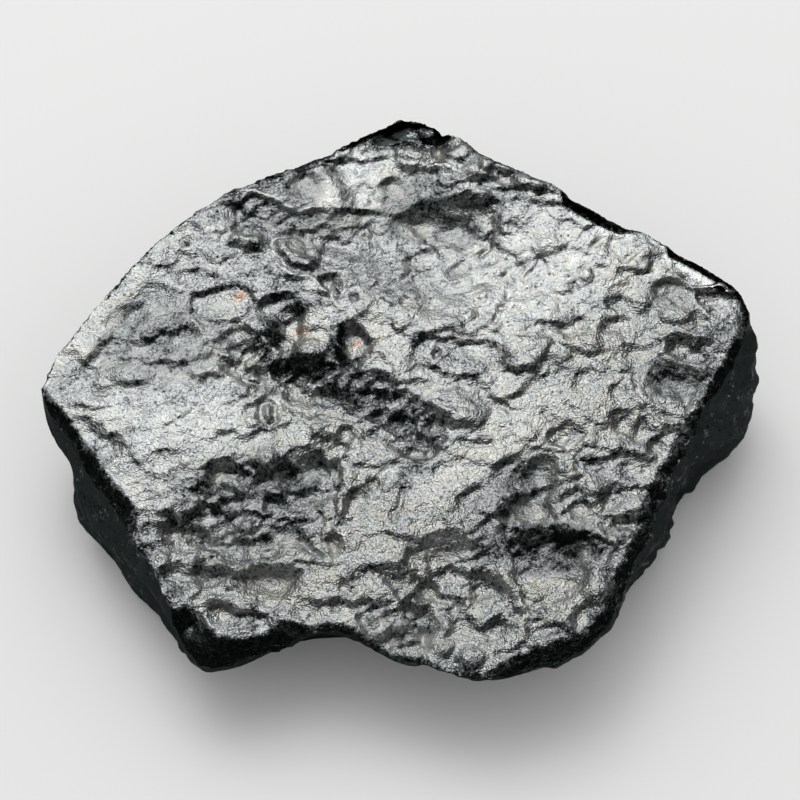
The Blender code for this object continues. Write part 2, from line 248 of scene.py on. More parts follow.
# Hollows, each with a steep far wall and a floor that rises to the front:
# x, y, half-length, half-width, turn, depth
HOLLOWS = (
    # back
    (-13.7, 28.1, 2.8, 2.8, 10, 0.9), (-28.3, 14.7, 3, 1.7, -8, 0.5), (-29.9, 17.8, 1.1, 1.2, 0, 0.35),
    (-24.3, 10.8, 4, 2.7, -4, 0.8), (-10.1, 14, 2.1, 2.3, 0, 0.5), (-7.4, 11.7, 0.75, 0.8, 0, 0.9),
    (4, 33.7, 1.2, 2.2, 0, 0.9), (-2.4, 28.8, 2.2, 1.7, 0, 0.5), (1.5, 23.2, 5.2, 3.4, 15, 1.2),
    (8, 24.6, 5, 2.6, -10, 0.8), (12.3, 29, 2.4, 1.2, -35, 0.7), (-5.6, 21.8, 1.3, 0.9, 0, 0.3),
    (1.5, 17.6, 3, 2, 10, 0.31), (6.6, 16.8, 2.2, 1.4, 30, 0.25), (-5.2, 18.4, 1.8, 2.4, 20, 0.4),
    (3.8, 13.2, 2.6, 1.7, 30, 0.31), (-2.6, 14.4, 2.6, 1.6, -10, 0.25), (2.6, 10.2, 2.2, 1.5, 0, 0.25),
    (-21.6, 18.9, 2.8, 1.1, -8, 0.4), (-18.2, 29.6, 2, 0.7, 0, 0.5),
    # the two craters
    (-13.5, 6.4, 4.8, 4.6, 0, 0.6), (-4.7, 5.2, 5, 4.9, 0, 0.38), (-17.2, 10.6, 3.4, 2, 20, 1.2),
    (3.3, 3.4, 0.95, 1, 0, 0.7),
    # left
    (-35.6, 8.9, 4, 2.6, 0, 0.45), (-38.6, 8, 1.5, 2.2, -30, 0.35), (-29.4, 5.3, 2.4, 1.9, -10, 0.5),
    (-24.9, -1, 2.6, 2.6, 0, 0.35), (-14.6, -1.8, 1.9, 1.7, 0, 0.45), (-31.3, -11.3, 1.5, 1.2, 0, 0.15),
    (-18.6, -7.8, 3.1, 1.4, 25, 0.4), (-13.6, -3.6, 3, 2.4, 0, 0.4), (-38.3, -10.9, 1.5, 1.6, -20, 0.15),
    (-22.2, 7.2, 1.5, 1.2, -20, 0.5), (-21.2, 4.6, 1.4, 1, 30, 0.5), (-42, 2.6, 2.6, 1.2, -40, 0.25),
    (-22.9, 4.9, 0.9, 1.2, 20, 0.7), (-19.2, 2.3, 1.2, 0.7, 0, 0.7), (-21.6, 3, 0.7, 1, -30, 0.6),
    (-24.8, 4.6, 0.8, 0.5, 0, 0.4), (-17, 1.6, 1.2, 0.8, 0, 0.6),
    # right, behind
    (26.4, 18.5, 1.3, 1.7, -40, 0.4), (24.4, 18.8, 1.9, 1, 38, 0.35), (27.1, 11.4, 2.3, 1.8, 25, 0.25),
    (33.3, 11.4, 3, 3.2, -20, 0.4), (38.6, 10.4, 2.9, 2.4, -35, 0.3), (37.2, 7.7, 1.3, 1.1, 0, 0.4),
    (34.2, 3.7, 2.3, 1.8, 10, 0.5), (38, 3.3, 1.8, 1.8, -20, 0.5), (33.4, -0.9, 4.9, 3.8, -8, 0),
    (21.4, 6.9, 3.4, 2.2, 15, 0.25), (26.4, 6.8, 2.5, 1.7, 15, 0.25), (28.6, 3.1, 2, 1.4, 10, 0.45),
    (21.8, -0.7, 2.2, 1.4, 35, 0.4), (32.8, -5.8, 2.3, 0.9, -5, 0.4), (26.5, -5.8, 1.5, 1.6, 40, 0.6),
    (28.4, -7.2, 2, 1.4, 40, 0.6), (30.8, -9.4, 1.4, 1.5, 0, 0.55), (32.4, -8.1, 1.4, 0.9, 0, 0.4),
    (18.8, -7.8, 2.4, 1.4, 35, 0.8), (26.2, -2.4, 1.1, 1.5, 10, 0.4), (28, 14.6, 1.4, 1.2, 0, 0.3),
    # right, in front
    (12.7, -13.6, 2.7, 3.3, 0, 0.6), (16.8, -13.3, 3.1, 2.9, 30, 0.9), (21.6, -12.2, 2, 1.6, 20, 0.4),
    (14.8, -17.5, 3, 2.6, -5, 1.2), (24, -17.2, 1.7, 1.6, 0, 0.7), (26.4, -19.4, 2.1, 1.3, 0, 0.6),
    (27.2, -12.9, 2, 1.3, 0, 0.6), (21.2, -18.2, 1.6, 2, 20, 0.7), (29.2, -13, 1.2, 1.1, 0, 0.4),
    (7.5, -16.2, 2.9, 1.6, 45, 0.8), (0.6, -9.7, 2.7, 1.3, -10, 0.7), (3.6, -12.4, 1.6, 1, 40, 0.35),
    (-4.9, -14.4, 1.2, 1.7, 0, 0.7), (-8.2, -7.4, 1.9, 1.5, 0, 0.9), (-13, -11.4, 2, 1.3, -10, 0.6),
    # front right
    (4.4, -24, 4.8, 3.5, 18, 0.8), (0.4, -24.6, 2, 2.6, 0, 1.4), (2.3, -27.7, 1.8, 1.7, 0, 1.2),
    (-2.3, -26.4, 2.2, 1.8, 0, 0.9), (15.8, -25.6, 5.4, 6.2, 20, 0.8), (20.6, -32.1, 1.8, 2.3, -30, 1),
    (13.1, -31.7, 1.8, 1.1, -35, 0.7), (16.3, -33.5, 2.4, 1, 5, 0.6), (1.6, -33, 1.6, 1.3, 0, 0.6),
    (8.2, -28, 1.2, 2.4, -20, 0.8), (6, -32.5, 1.3, 2.2, -40, 0.6), (9.6, -33, 1.2, 2, -40, 0.5),
    (22, -23.2, 1.8, 1.3, 0, 0.3), (11.4, -21.6, 1.5, 1.3, 0, 0.25), (25, -24, 1.6, 1.4, 40, 0.6),
    # front left
    (-23.2, -13.2, 3, 2.5, -35, 1.2), (-17.8, -13.4, 2.4, 1.8, 30, 0.8), (-14.9, -20.9, 2.3, 1.8, -20, 0.9),
    (-28.6, -25.7, 1.8, 1.9, 30, 0.9), (-17, -27, 4.4, 3.1, 0, 1.4), (-22, -31.2, 3, 2.3, -20, 1.1),
    (-18.4, -32, 2, 1.9, 0, 0.8), (-9.2, -29.8, 0.9, 1.2, 0, 0.8), (-9.2, -22.2, 1.1, 2, 10, 1),
    (-6.6, -16.3, 2.5, 1.9, 60, 0.7), (-26, -32.3, 2.2, 1.8, -30, 0.9), (-11.6, -26.2, 1, 0.8, 0, 0.15),
    (-6, -26.6, 1.6, 1.4, 0, 0.5), (-29.6, -19.8, 2.4, 1.3, -15, 0.7), (-11.8, -15.2, 2, 1.4, 30, 0.6),
    (-7.6, -28, 1.6, 1, -30, 0.5), (-17.6, -22.6, 1.8, 1.2, -10, 0.5), (-21.4, -22.6, 1.6, 1, 0, 0.4),
)

# Lobes, each rising towards a steep front edge: x, y, half-length, half-width, turn, height
LOBES = (
    # back
    (-21.6, 21.3, 3.5, 2.4, 0, 0.5), (0.5, 33.6, 2.9, 2.4, 0, 0.7), (6.5, 33.2, 1.9, 1.8, 0, 0.6),
    (9, 30.9, 2.9, 2.1, -20, 0.8), (8, 27.3, 3.7, 1.4, -8, 0.5), (15.8, 28.3, 2.9, 1.5, -28, 0.7),
    (18.5, 26, 1.5, 1.1, -30, 0.4), (-6.3, 27.2, 1.2, 1.4, 0, 0.3), (17.4, 20.4, 3, 2.9, -10, 0.45),
    (18.9, 14.3, 2.4, 2.5, 0, 0.4), (22.4, 15.3, 1.3, 1.5, 0, 0.5), (12.2, 21.9, 1.2, 1.2, 0, 0.3),
    (13.8, 19.6, 1.5, 1.6, 0, 0.25), (7.4, 9.4, 1, 1.2, 0, 0.35), (1.8, 20.6, 1.4, 0.9, 0, 0.3),
    (-2, 19, 1.4, 1.1, 0, 0.3), (-1.6, 16.4, 1.7, 1.3, 0, 0.35), (9.2, 13.2, 1.7, 1.8, 20, 0.35),
    (9, 17.6, 1.5, 2, 20, 0.3), (15.6, 16.6, 0.8, 1.7, -35, 0.25), (4.9, 8.6, 1.9, 1.3, 0, 0.3),
    # middle
    (-13.4, 4.7, 3, 2.7, 0, 0.8), (13.9, 4.9, 4.2, 4.3, 0, 0.5), (13.6, 5.9, 1.9, 1.8, 0, 0.4),
    (21.8, 5.7, 3.9, 2.6, -12, 0.25), (22.4, -3.3, 4.2, 3.5, -25, 0.25), (5.4, -3, 5.4, 3.7, -28, 1.1),
    (13.3, -0.9, 2.6, 1.4, 30, 0.5), (-21.5, -0.6, 1.5, 1.6, 0, 0.5), (-20.2, 1.5, 1.4, 1.1, 0, 0.5),
    (-18.2, -10.3, 1.6, 1.5, 0, 0.8), (-28.3, 2.9, 2.4, 2.5, 0, 0.2), (-37.7, 5.9, 1.9, 1.2, 0, 0.35),
    (-39.6, 1.2, 3, 2, 10, 0.25), (-34, 3.4, 2.4, 1.8, 0, 0.25), (-24.6, 1.9, 1.3, 1, 0, 0.35),
    (-40.6, -1.9, 3.4, 1.8, -10, 0.25), (-20, -5, 1.8, 1.4, 0, 0.3), (-12.4, -6.6, 1.8, 1.2, 20, 0.3),
    (-34.5, 8.6, 4.6, 3, 20, 0.8), (-28.6, 5.6, 4, 3.4, 0, 0.2), (-36.6, 2.2, 4.4, 2.8, -10, 0.7),
    # right
    (29.8, 17.2, 1.9, 2.4, 10, 0.3), (24.3, 16.8, 1.3, 1.3, 0, 0.35), (26.5, 15.9, 1.6, 1.8, 0, 0.3),
    (29.3, 10.5, 1.8, 1.7, 30, 0.4), (33.5, 9.5, 2.7, 2.2, -5, 0.6), (31.4, 6.1, 1.5, 1.1, 0, 0.4),
    (26.6, 1.6, 1.5, 1.3, 0, 0.4), (23.6, 1.6, 1.4, 1.2, 0, 0.3), (33.4, 15, 2, 1.2, -30, 0.5),
    (22.4, -14.4, 1.6, 1.4, 0, 0.6), (18.5, -12, 1.1, 1.2, 0, 0.8), (18.3, -16.6, 2.6, 1.7, 35, 0.5),
    (27.4, -16.4, 2.4, 2.1, 0, 0.6), (24.2, -20.8, 2.3, 1.4, -15, 0.6), (24.6, -8.8, 2.6, 1.5, -25, 0.5),
    (22.2, -8.2, 1.6, 1.5, 0, 0.5), (14.2, -7.6, 2.2, 1.3, 20, 0.35), (28.6, -10.4, 1.6, 1.2, 0, 0.4),
    # front
    (22.3, -27, 1.9, 3.2, -15, 0.9), (17, -23.8, 2.2, 1.2, 0, 0.25), (9.6, -30, 1.5, 3.2, -42, 0.7),
    (6.8, -28.6, 1, 2.4, -40, 0.6), (7, -36, 2.4, 1.5, 20, 0.8), (10.2, -36.8, 2.2, 1.2, 15, 0.6),
    (12, -34, 1.4, 2.2, -50, 0.6), (3.6, -34.6, 1.6, 1.4, 0, 0.6), (-14.7, -31.2, 2.2, 1.8, -15, 0.5),
    (-22.6, -26.2, 1.5, 1.3, -20, 0.6), (-26.4, -26.9, 1.3, 2, 10, 0.6), (-9.3, -16.8, 1.4, 5.4, -22, 0.6),
    (-30.8, -23.4, 1.4, 1.9, 0, 0.5), (-24.5, -22.4, 2, 1.4, 0, 0.4), (-11.4, -28.2, 1.8, 1.6, 0, 0.25),
    (-7.6, -25.2, 2, 1.5, 0, 0.4), (-31.6, -17.9, 1.3, 1.2, 0, 0.4), (-27.6, -18.3, 1.6, 1, 20, 0.5),
    (-13, -17.4, 1.8, 1.4, -30, 0.5), (-2.2, -31.2, 1.6, 1.2, 0, 0.5), (20, -20.4, 1.2, 1.4, 0, 0.6),
    (-22.8, -13.2, 2.9, 1.2, -38, 1.3),
)

# Scarps, where the ground breaks away on the right of the line and slowly comes back:
# points, drop, width, reach
SCARPS = (
    # the craters, and the drop in front of them
    (((-15.4, 2.2), (-18, 4), (-18.9, 7), (-18, 9.8), (-15.6, 11.6), (-12.4, 11.2)), 1.9, 2, 5.3),
    (((-6.8, 0.8), (-8.9, 2.6), (-9.6, 5.4), (-9, 8.2), (-7.4, 9.4)), 2, 1.6, 5),
    (((-20.6, 9.6), (-20, 6.8), (-17.5, 4.6), (-14.6, 3.6), (-12, 3), (-9.6, 2.2),
      (-7, 1.8), (-4.2, 1), (-1.6, -0.4), (0.8, -2.2), (3.4, -4.4), (6, -6)), 2.4, 3.4, 5.5),
    (((0.4, 4.8), (2.2, 2.9), (4.4, 1.6), (6.6, 0.9), (8.6, 0.2), (10.4, -1.4), (12.8, -4.2)),
      0.59, 0.81, 3.8),
    (((0.4, 7.4), (2.4, 6.4), (4.4, 6), (6.4, 5.6), (8.6, 5.5), (10, 6.4)), 0.59, 0.63, 3.5),
    (((-9.2, 11.5), (-10.9, 12.6), (-11.8, 14), (-12, 15.2), (-10.9, 15.9), (-9.4, 15.6)),
      0.72, 0.45, 2.4),
    (((-21.6, 7.4), (-18, 5.6), (-14.6, 2.2), (-11, 0.6), (-6.4, -1.6), (-2.6, -4.4),
      (2, -6.6), (6, -8)), 1, 1.6, 3.4),
    # left
    (((-43.6, 1.4), (-40.4, 5.4), (-37.6, 10.6), (-34.2, 15.8), (-31.2, 21.4)), 0.33, 1.35, 4.2),
    (((-44.2, -4), (-41.6, -4.4), (-40, -4.8), (-38.2, -6.8), (-35.4, -9.2)), 0.35, 0.9, 3.5),
    (((-31.8, -21.4), (-30.8, -18.8), (-29.6, -17), (-27.6, -15.4), (-26.6, -13.4),
      (-26, -11.6), (-24, -10.5), (-20.6, -10.4), (-18.4, -11.4), (-16.2, -10.2),
      (-13.4, -8.8), (-11.2, -7.8), (-9.2, -6.6), (-7, -7), (-5.2, -9)), 2.7, 6, 9),
    (((-32.4, -18.2), (-29, -17.9), (-26, -18.6), (-23, -18.4), (-19.6, -18.5),
      (-16.8, -19), (-14.6, -19.6)), 1.4, 2.6, 5),
    (((-28, -23.6), (-24, -24.1), (-21, -24.2), (-18, -24), (-14.5, -24.4), (-12.4, -25.8)),
      1.1, 1.8, 4.3),
    (((-45, -0.6), (-41, 5.4), (-37.4, 10), (-35, 13.4), (-34, 15.4)), 0.5, 2, 6),
    # front
    (((-4.6, -26.4), (-3, -25.4), (-1, -24.8), (0, -23.6), (1.8, -22.4), (4.2, -22),
      (7, -21.4), (9.6, -20.6)), 2.4, 5.5, 11),
    (((9.6, -20.6), (11.2, -19.4), (13.6, -19.8), (17, -19.7), (20.4, -20.8), (22.6, -22.6),
      (24.6, -24.2)), 3, 6.5, 9),
    (((9.7, -19.2), (11, -15.6), (12.5, -12.4), (15.5, -11), (18.8, -11.4)), 1.9, 4.2, 7),
    (((15.6, -16.6), (18, -15.8), (20.8, -14.3)), 0.59, 0.63, 3.5),
    (((24.4, -13.6), (26.5, -14.5), (28.5, -14.5), (31, -14)), 0.59, 0.72, 3.5),
    (((22, -20), (24.2, -18.6), (26.6, -18.6), (28.6, -17.6)), 0.59, 0.72, 3.5),
    (((-8, -30), (-5, -29), (-1.5, -28.9), (1, -29.6), (3.6, -30.4)), 2.2, 5, 12),
    # right
    (((29.4, -2.6), (30, -0.4), (30.6, 1.4), (32, 2.4), (34, 1.9), (36.4, 1), (38.4, -0.2)),
      2.2, 4.5, 7),
    (((30.9, 10.6), (30.8, 13.2), (32.2, 13.9), (34.2, 13.3), (36.2, 12.1)), 0.8, 1.8, 4.3),
    (((36.4, 9.8), (36.5, 11.8), (38.4, 12.2), (40.2, 12), (41.2, 11)), 0.59, 1.35, 3.6),
    (((31.4, 3.4), (32.6, 4.8), (33.8, 5.9), (35.4, 5.4), (36.6, 4.4), (38.6, 3.4)), 0.78, 1.17, 3.8),
    (((18.5, 7), (20.3, 8.5), (22.4, 8.8), (23.8, 7.8)), 0.45, 0.81, 3.5),
    (((24.2, 6.4), (25.2, 8), (27, 8.4), (28.8, 8)), 0.39, 0.72, 3.2),
    (((24.6, 10.2), (25.8, 11.4), (27.6, 12.2)), 0.39, 0.72, 2.9),
    (((26.8, -9.2), (28.4, -5.4), (30.2, -6.8), (32.6, -7.6)), 0.65, 0.9, 3.8),
    (((25, -7.6), (25.5, -5.4), (27.2, -4.9)), 0.52, 0.72, 2.9),
    (((17.4, -8.8), (19, -7.1), (21, -6.6), (22.4, -7.4)), 0.52, 0.72, 3.2),
    # back
    (((-25.8, 26.8), (-22.4, 27.2), (-19.4, 26.8), (-16.6, 25.1), (-14.6, 24.4), (-10, 24.9),
      (-5.4, 24.8), (-3.4, 24.2)), 1.2, 3.2, 5.5),
    (((-4.2, 23.6), (-3.9, 28), (-3.5, 31), (-3.1, 33.6)), 0.45, 1.4, 5.4),
    (((-3.4, 33.4), (-1.6, 32.2), (0.6, 31.4), (3.4, 31.2), (5.4, 30.8), (6.4, 29.4)), 0.3, 1.2, 3.5),
    (((2.4, 32.6), (3, 35), (4.8, 35.2)), 0.52, 1.08, 3.8),
    (((-1.4, 24.6), (0.6, 25.8), (4, 26.5), (8, 26.3), (12.6, 25.7)), 1.3, 3.8, 6),
    (((9.4, 31.8), (12, 30.6), (14.5, 29.6)), 0.45, 0.9, 3.2),
    (((2.6, 24.4), (6, 24.8), (9.4, 24.2)), 0.52, 1.26, 3.8),
    (((-14, 33.4), (-9, 36), (-4, 38.9), (0, 40), (4, 38.2), (8, 35.2)), 1.9, 4.2, 8),
)

# Folds, where the ground rises sharply on the left of the line and slowly comes back:
# points, height, width, reach
FOLDS = (
    (((-18.3, 21.6), (-17.6, 18.7), (-15.7, 16.5), (-12, 15.3)), 1.1, 0.8, 4.1),
    (((-24.4, 19.9), (-22.8, 18.8), (-21, 18.5), (-19.2, 19)), 0.61, 0.56, 3.7),
    (((-4.5, 12.4), (-3.4, 11), (-1.6, 10.3)), 0.44, 0.35, 2.7),
    (((-1.4, 12.6), (-0.4, 11.8), (1, 11.5)), 0.28, 0.28, 2.4),
    (((10.4, 2.2), (12, 1.2), (14.4, 0.9), (16.4, 2), (17.4, 4), (17.7, 5.8)), 0.44, 0.42, 4.1),
    (((17.9, 5.2), (20, 4), (22.4, 3.2), (24.8, 3.4)), 0.35, 0.35, 3.4),
    (((17, 2.6), (18.6, 2.4), (20.2, 2)), 0.28, 0.21, 1.7),
    (((18.4, -2.6), (19.8, -4.4), (21.9, -5.8), (24.6, -7.2)), 0.22, 0.39, 3.7),
    (((27.4, 16.2), (28.4, 15.2), (29.6, 14.8), (31.4, 14.9)), 0.35, 0.35, 2.7),
    (((-3.2, 34.8), (-2, 33.2), (-0.4, 32.2), (2.2, 31.9)), 0.3, 0.49, 3.1),
    (((6.4, 29.2), (8.2, 28.6), (10.2, 27.5), (13, 27.4), (17.6, 26.7), (19.6, 25.6)), 0.39, 0.35, 2.7),
    (((14.2, -0.6), (15.4, 0.2), (16.6, 1.4)), 0.28, 0.28, 2.4),
)

# Thin ridges, or grooves below zero: points, height, width
RIDGES = (
    (((-23, 27.6), (-19.9, 27.7), (-17.6, 26.2), (-15.2, 24.7), (-13.4, 25), (-9.8, 25.6)), 0.4, 0.4),
    (((-18.2, 18.6), (-17, 16.6), (-15, 15.1), (-12.9, 14.8), (-11.6, 12.8), (-9.6, 10.9),
      (-8.4, 10.2)), 0.35, 0.32),
    (((-15.5, 0.9), (-13, -0.1), (-10.5, -1.9), (-7.8, -4.4), (-4.8, -5.6), (-2.4, -7.4), (0, -7.6),
      (2.6, -7.2)), 0.4, 0.35),
    (((-3.4, 33.5), (-1, 32), (0.8, 31.4), (3.4, 31.1), (5.6, 30.6), (6.6, 29.2)), 0.35, 0.35),
    (((31, 14), (33.2, 14), (35.4, 12.9), (36.3, 12.2), (38.2, 12.5), (40.2, 12.4),
      (41.4, 10.8)), 0.45, 0.3),
    (((36.2, 12.4), (36.8, 10.6), (38, 8.8), (39, 7.4)), 0.3, 0.3),
    (((30.4, 4.6), (31.8, 3.2), (32.2, 5.2), (33.6, 6.3), (35.4, 5.9), (37.6, 5.3), (39.8, 4.4)), 0.4, 0.3),
    (((31.6, 3), (33.6, 2.1), (35.6, 1.7), (37.8, 0.4)), 0.45, 0.35),
    (((27.6, 1.6), (27.5, -0.8), (28, -2.8), (29.6, -4.8), (31.4, -6.5), (33.6, -7.2), (35.4, -6.8)),
      0.4, 0.32),
    (((28.6, -0.6), (29.2, -3), (31, -4.6), (33.4, -5.4), (35.6, -5.3)), 0.35, 0.3),
    (((13.2, 11.2), (12, 9.6), (10.8, 7.8), (9.8, 6.2)), 0.18, 0.3),
    (((13.6, 15.2), (12.9, 13.8), (12.4, 12.2), (12.1, 10.8)), -0.16, 0.4),
    (((12.4, 11), (11.2, 9.2), (10.2, 7.6)), -0.12, 0.35),
    (((9.9, 22.6), (10.2, 20.8), (9.6, 19.4), (8.9, 18.4)), -0.3, 0.3),
    (((-28.4, 10.3), (-27, 7.2), (-25.6, 5.2), (-23.6, 3.6), (-22.4, 3)), 0.3, 0.3),
    (((-28.2, 0.6), (-26.3, 1.6), (-24.6, 3)), 0.25, 0.3),
    (((-35, 7.6), (-34.6, 6), (-33, 5.6)), -0.15, 0.35),
    (((-14.4, -20.2), (-12.8, -21.8), (-11.6, -23.2), (-10.6, -24.4)), -0.9, 0.35),
    (((-25, -28.4), (-22.5, -29.2), (-20.5, -29.9), (-18.6, -30.3)), 0.5, 0.4),
    (((-0.8, -14.6), (-1.4, -17), (-2.4, -18.6), (-2, -20)), -0.5, 0.4),
    (((10.3, -26), (11.8, -28), (13.4, -30.2), (14.6, -31.8)), 0.3, 0.4),
    (((20.6, -22), (20.6, -25.4), (20, -28.4), (18.8, -31.4)), 0.12, 0.5),
    (((2.6, -2.2), (4.4, -3.6), (6.2, -4.8)), -0.4, 0.35),
    (((5, -3), (6.6, -4.2), (8, -5)), -0.35, 0.3),
    (((16.4, -4.4), (17.8, -5.6), (18.6, -6.8)), -0.25, 0.3),
    (((10.2, -3), (11.6, -3.4), (13.2, -5.2)), -0.35, 0.4),
    (((5.4, -8.4), (8, -9), (10.4, -8.6)), -0.3, 0.4),
    (((-36.4, -3), (-36.6, -5)), -0.15, 0.25),
    (((-40.2, -1), (-38.8, -1.5), (-37.4, -1.2)), -0.2, 0.3),
)

# Burst bubbles: x, y, half-length along x and along y, ring height (a moat is below zero), ring width, dome
RINGS = (
    (-18.2, -4.2, 1.05, 1.45, -0.6, 0.4, 0.2),
    (-29.4, 20.3, 0.55, 0.6, -0.4, 0.3, 0.1),
    (18.1, 0.9, 0.6, 0.6, -0.35, 0.35, 0.1),
    (-12, -30.7, 0.5, 0.4, -0.5, 0.4, 0.1),
    (-20.6, 1.4, 1, 0.9, -0.3, 0.35, 0.1),
    (23.2, -17, 0.7, 0.7, -0.3, 0.35, 0.2),
    (25.6, -21.8, 0.5, 0.5, -0.4, 0.35, 0.1),
    (-9.6, 13.7, 1.1, 1.5, -0.25, 0.35, 0.5),
    (-24.3, 10.8, 3.9, 2.6, -0.35, 0.13, 0),
)

# Painted orange glints, in small spots: x, y, half-length, half-width, turn
ORANGE_GLINT_SPOTS = (
    (-22.2, 12, 0.8, 0.5, 50),
    (-14.3, 7.6, 0.7, 0.5, 0),
    (-7.4, 5.8, 0.5, 0.4, 0),
)
ORANGE_GLINT_STRENGTH = 0.8


def lattice(x, y, cell, seed):
    """Smooth noise from -1 to 1 whose humps are about one cell across."""
    table = np.random.default_rng(seed).uniform(-1.0, 1.0, (CELLS, CELLS))
    u, v = x / cell + 32.37, y / cell + 32.71
    i, j = np.floor(u).astype(int), np.floor(v).astype(int)
    s, t = u - i, v - j
    s = s * s * s * (s * (6 * s - 15) + 10)
    t = t * t * t * (t * (6 * t - 15) + 10)
    i0, j0, i1, j1 = i % CELLS, j % CELLS, (i + 1) % CELLS, (j + 1) % CELLS
    low = table[i0, j0] * (1 - s) + table[i1, j0] * s
    high = table[i0, j1] * (1 - s) + table[i1, j1] * s
    return low * (1 - t) + high * t


def rough(x, y, cell, seed, octaves=3, fall=0.5):
    """Several octaves of smooth noise."""
    total, size = 0.0, 1.0
    for octave in range(octaves):
        total = total + size * lattice(x, y, cell / 2.03**octave, seed + octave)
        size *= fall
    return total


def cells_about(x, y, cell, jitter):
    """For each of the nine cells about a place, its index and how far the place is from its middle."""
    u, v = x / cell + CELLS / 2, y / cell + CELLS / 2
    i, j = np.floor(u).astype(int), np.floor(v).astype(int)
    for a in (-1, 0, 1):
        for b in (-1, 0, 1):
            index = (i + a) % CELLS, (j + b) % CELLS
            middle = jitter[index]
            yield index, u - (i + a) - middle[..., 0], v - (j + b) - middle[..., 1]


def scallops(x, y, cell, seed):
    """0 at the middle of each scallop, rising to about 1 on the sharp ridges between them."""
    rng = np.random.default_rng(seed)
    jitter = rng.uniform(0.12, 0.88, (CELLS, CELLS, 2))
    size = rng.uniform(0.75, 1.3, (CELLS, CELLS))
    best = np.ones(np.shape(x))
    for index, du, dv in cells_about(x, y, cell, jitter):
        best = np.minimum(best, (du * du + dv * dv) * size[index])
    return best


def flakes(x, y, cell, seed):
    """Overlapping flakes about one cell across, each rising to a steep front edge."""
    rng = np.random.default_rng(seed)
    jitter = rng.uniform(0.1, 0.9, (CELLS, CELLS, 2))
    lift = rng.uniform(-0.35, 0.35, (CELLS, CELLS))
    total, weights = 0.0, 1e-9
    for index, du, dv in cells_about(x, y, cell, jitter):
        weight = np.exp(-24.0 * (du * du + dv * dv))
        total = total + weight * (lift[index] - 0.9 * dv - 0.2 * du)
        weights = weights + weight
    return total / weights


def eased(t):
    """0 below 0 and 1 above 1, with a smooth rise between."""
    t = np.clip(t, 0.0, 1.0)
    return t * t * (3 - 2 * t)


def local(x, y, cx, cy, length, width, turn):
    """Coordinates in an ellipse's own axes, 1 on its outline."""
    c, s = math.cos(math.radians(turn)), math.sin(math.radians(turn))
    return ((x - cx) * c + (y - cy) * s) / length, ((y - cy) * c - (x - cx) * s) / width


def leaning(x, y, rows, lean_to, lean):
    """The largest of several rounded forms, each with its summit off to one side, where it ends steeply."""
    most = np.zeros(np.shape(x))
    for cx, cy, length, width, turn, size in rows:
        a, b = local(x, y, cx, cy, length, width, turn)
        near = a * a + b * b < 1.0
        to = math.radians(lean_to - turn)
        summit = lean * math.cos(to), lean * math.sin(to)
        da, db = a[near] - summit[0], b[near] - summit[1]
        away = np.maximum(da * da + db * db, 1e-9)
        along = summit[0] * da + summit[1] * db
        t = away / (np.sqrt(along * along + away * (1.0 - lean * lean)) - along)
        steep = 0.5 + 0.5 * (da * math.cos(to) + db * math.sin(to)) / np.sqrt(away)
        form = steep * (1.0 - t**3) + (1.0 - steep) * (1.0 - t * t) ** 2
        most[near] = np.maximum(most[near], size * form)
    return most


def curve(points):
    """A smooth line through the points."""
    p = np.array(points, float)
    q = np.vstack([2 * p[0] - p[1], p, 2 * p[-1] - p[-2]])
    t = np.arange(CURVE_STEPS)[:, None] / CURVE_STEPS
    parts = []
    for a, b, c, d in zip(q, q[1:], q[2:], q[3:]):
        bend = (2 * a - 5 * b + 4 * c - d) * t * t + (3 * b - a - 3 * c + d) * t**3
        parts.append(0.5 * (2 * b + (c - a) * t + bend))
    return np.vstack([*parts, p[-1:]])


def along_line(x, y, points, reach):
    """Where a line is near, the signed distance to it (above zero on its left) and the place along it."""
    line = curve(points)
    low, high = line.min(axis=0) - reach, line.max(axis=0) + reach
    near = (x > low[0]) & (x < high[0]) & (y > low[1]) & (y < high[1])
    px, py = x[near], y[near]
    best = np.full(px.shape, 1e9)
    side = np.ones(px.shape)
    place = np.zeros(px.shape)
    runs = np.diff(line, axis=0)
    sizes = np.linalg.norm(runs, axis=1)
    starts = np.concatenate([[0.0], np.cumsum(sizes)])
    for (ax, ay), (rx, ry), size, start in zip(line, runs, sizes, starts):
        dx, dy = px - ax, py - ay
        t = np.clip((dx * rx + dy * ry) / size**2, 0.0, 1.0)
        away = np.hypot(dx - t * rx, dy - t * ry)
        closer = away < best
        best = np.where(closer, away, best)
        side = np.where(closer, np.sign(rx * dy - ry * dx), side)
        place = np.where(closer, (start + t * size) / starts[-1], place)
    return near, best * side, place


def slope_beside(x, y, points, side, width, reach):
    """Where a line is near, how far the ground beside it has moved, from 0 to 1, and how steep it is."""
    near, away, place = along_line(x, y, points, 2.5 * reach)
    ends = eased(place / 0.15) * eased((1 - place) / 0.15)
    into = np.maximum(side * away, 0.0)
    t = into / width
    gone = ends * t / (1 + t**4) ** 0.25 * np.exp(-((into / reach) ** 2))
    steep = ends * (1 + t**4) ** -1.25 * (into > 0)
    return near, gone, steep


def ridge(h, x, y, points, height, width):
    """Adds a raised line, or a groove where height is below zero."""
    near, away, place = along_line(x, y, points, 3.0 * width)
    ends = eased(place / 0.2) * eased((1 - place) / 0.2)
    h[near] += height * ends * np.exp(-((away / width) ** 2))


def zone_level(x, y, zones, common):
    """A level that eases from zone to zone, and is the common one elsewhere."""
    total, weights = common * np.ones(np.shape(x)), np.ones(np.shape(x))
    for cx, cy, length, width, turn, level in zones:
        a, b = local(x, y, cx, cy, length, width, turn)
        weight = 6.0 * np.exp(-1.5 * (a * a + b * b) ** 2)
        total += weight * level
        weights += weight
    return total / weights


